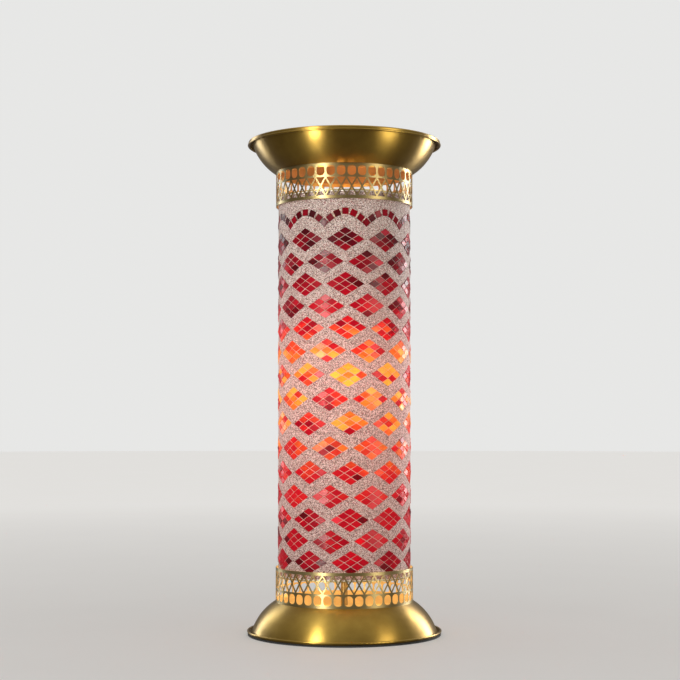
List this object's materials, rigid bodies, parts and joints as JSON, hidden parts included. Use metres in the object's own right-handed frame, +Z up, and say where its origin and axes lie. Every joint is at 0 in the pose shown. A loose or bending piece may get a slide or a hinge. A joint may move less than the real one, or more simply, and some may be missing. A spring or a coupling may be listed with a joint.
{
  "type": "mosaic glass column lamp",
  "caption": "Tall lit pedestal lamp: red mosaic glass cylinder between pierced brass galleries, on a spun brass base, under a matching flat-topped brass dish.",
  "frame": {"origin": "on the floor, at the centre of the base pad's underside", "axes": "+Z up along the column's axis; the pictured front faces -Y and the cord inlet faces +Y"},
  "size_m": [0.28, 0.28, 0.711],
  "materials": {
    "satin_brass": "antique satin brass, spun, with faint turning marks",
    "inner_brass": "plain brass, lit from inside",
    "black_pad": "matt black ring pad",
    "zinc_steel": "zinc plated steel",
    "inlet_plastic": "matt black moulded plastic",
    "clear_glass": "clear blown glass tube, 3.5 mm wall",
    "speckled_grout": "cream grout with fine dark and red granules",
    "ruby_glass": "small ruby glass tiles, gloss, some near black, some bright red",
    "gasket_silicone": "milky silicone",
    "holder_brass": "thin pressed brass shell",
    "liner_card": "brown insulating card",
    "holder_porcelain": "white porcelain core",
    "thread_aluminium": "bare aluminium screw shell",
    "bulb_glass": "inside-frosted glass, lit",
    "insulator_black": "black glassy insulator",
    "solder": "dull solder",
    "filament_wire": "glowing filament"
  },
  "bodies": {
    "base": {"base_pad": "black_pad", "base_shell": "satin_brass", "base_plate": "inner_brass", "base_tabs": "inner_brass", "base_plate_screws": "zinc_steel", "cord_inlet": "inlet_plastic", "cord_inlet_nut": "inlet_plastic", "lower_gallery": "satin_brass", "lower_seat_ring": "inner_brass", "lower_gasket": "gasket_silicone", "glass_tube": "clear_glass", "grout_layer": "speckled_grout", "diamond_tiles": "ruby_glass", "border_tiles": "ruby_glass", "stem_pipe": "inner_brass", "stem_nuts": "inner_brass", "stem_washer": "zinc_steel", "holder_cap": "holder_brass", "holder_shell": "holder_brass", "holder_liner": "liner_card", "holder_core": "holder_porcelain", "holder_terminals": "holder_brass", "holder_screw_shell": "thread_aluminium", "holder_contact": "holder_brass"},
    "bulb_tip": {"bulb_contact": "solder"},
    "bulb": {"bulb_insulator": "insulator_black", "bulb_cap": "thread_aluminium", "bulb_globe": "bulb_glass", "bulb_mount": "clear_glass", "bulb_filament": "filament_wire"},
    "top": {"upper_gasket": "gasket_silicone", "upper_seat_ring": "inner_brass", "upper_gallery": "satin_brass", "top_dish": "satin_brass", "top_plate": "satin_brass"}
  },
  "joints": [
    {"name": "top_lift", "type": "slide", "parent": "base", "child": "top", "axis": [0, 0, 1], "range_m": [0, 0.12]},
    {"name": "bulb_rise", "type": "slide", "parent": "base", "child": "bulb_tip", "axis": [0, 0, 1], "range_m": [0, 0.024]},
    {"name": "bulb_turn", "type": "hinge", "parent": "bulb_tip", "child": "bulb", "pos_m": [0, 0, 0.31], "axis": [0, 0, 1], "range_deg": [0, 2376]}
  ],
  "couplings": [
    {"joint": "bulb_rise", "follows": "bulb_turn", "m_per_rad": 0.00057757}
  ]
}
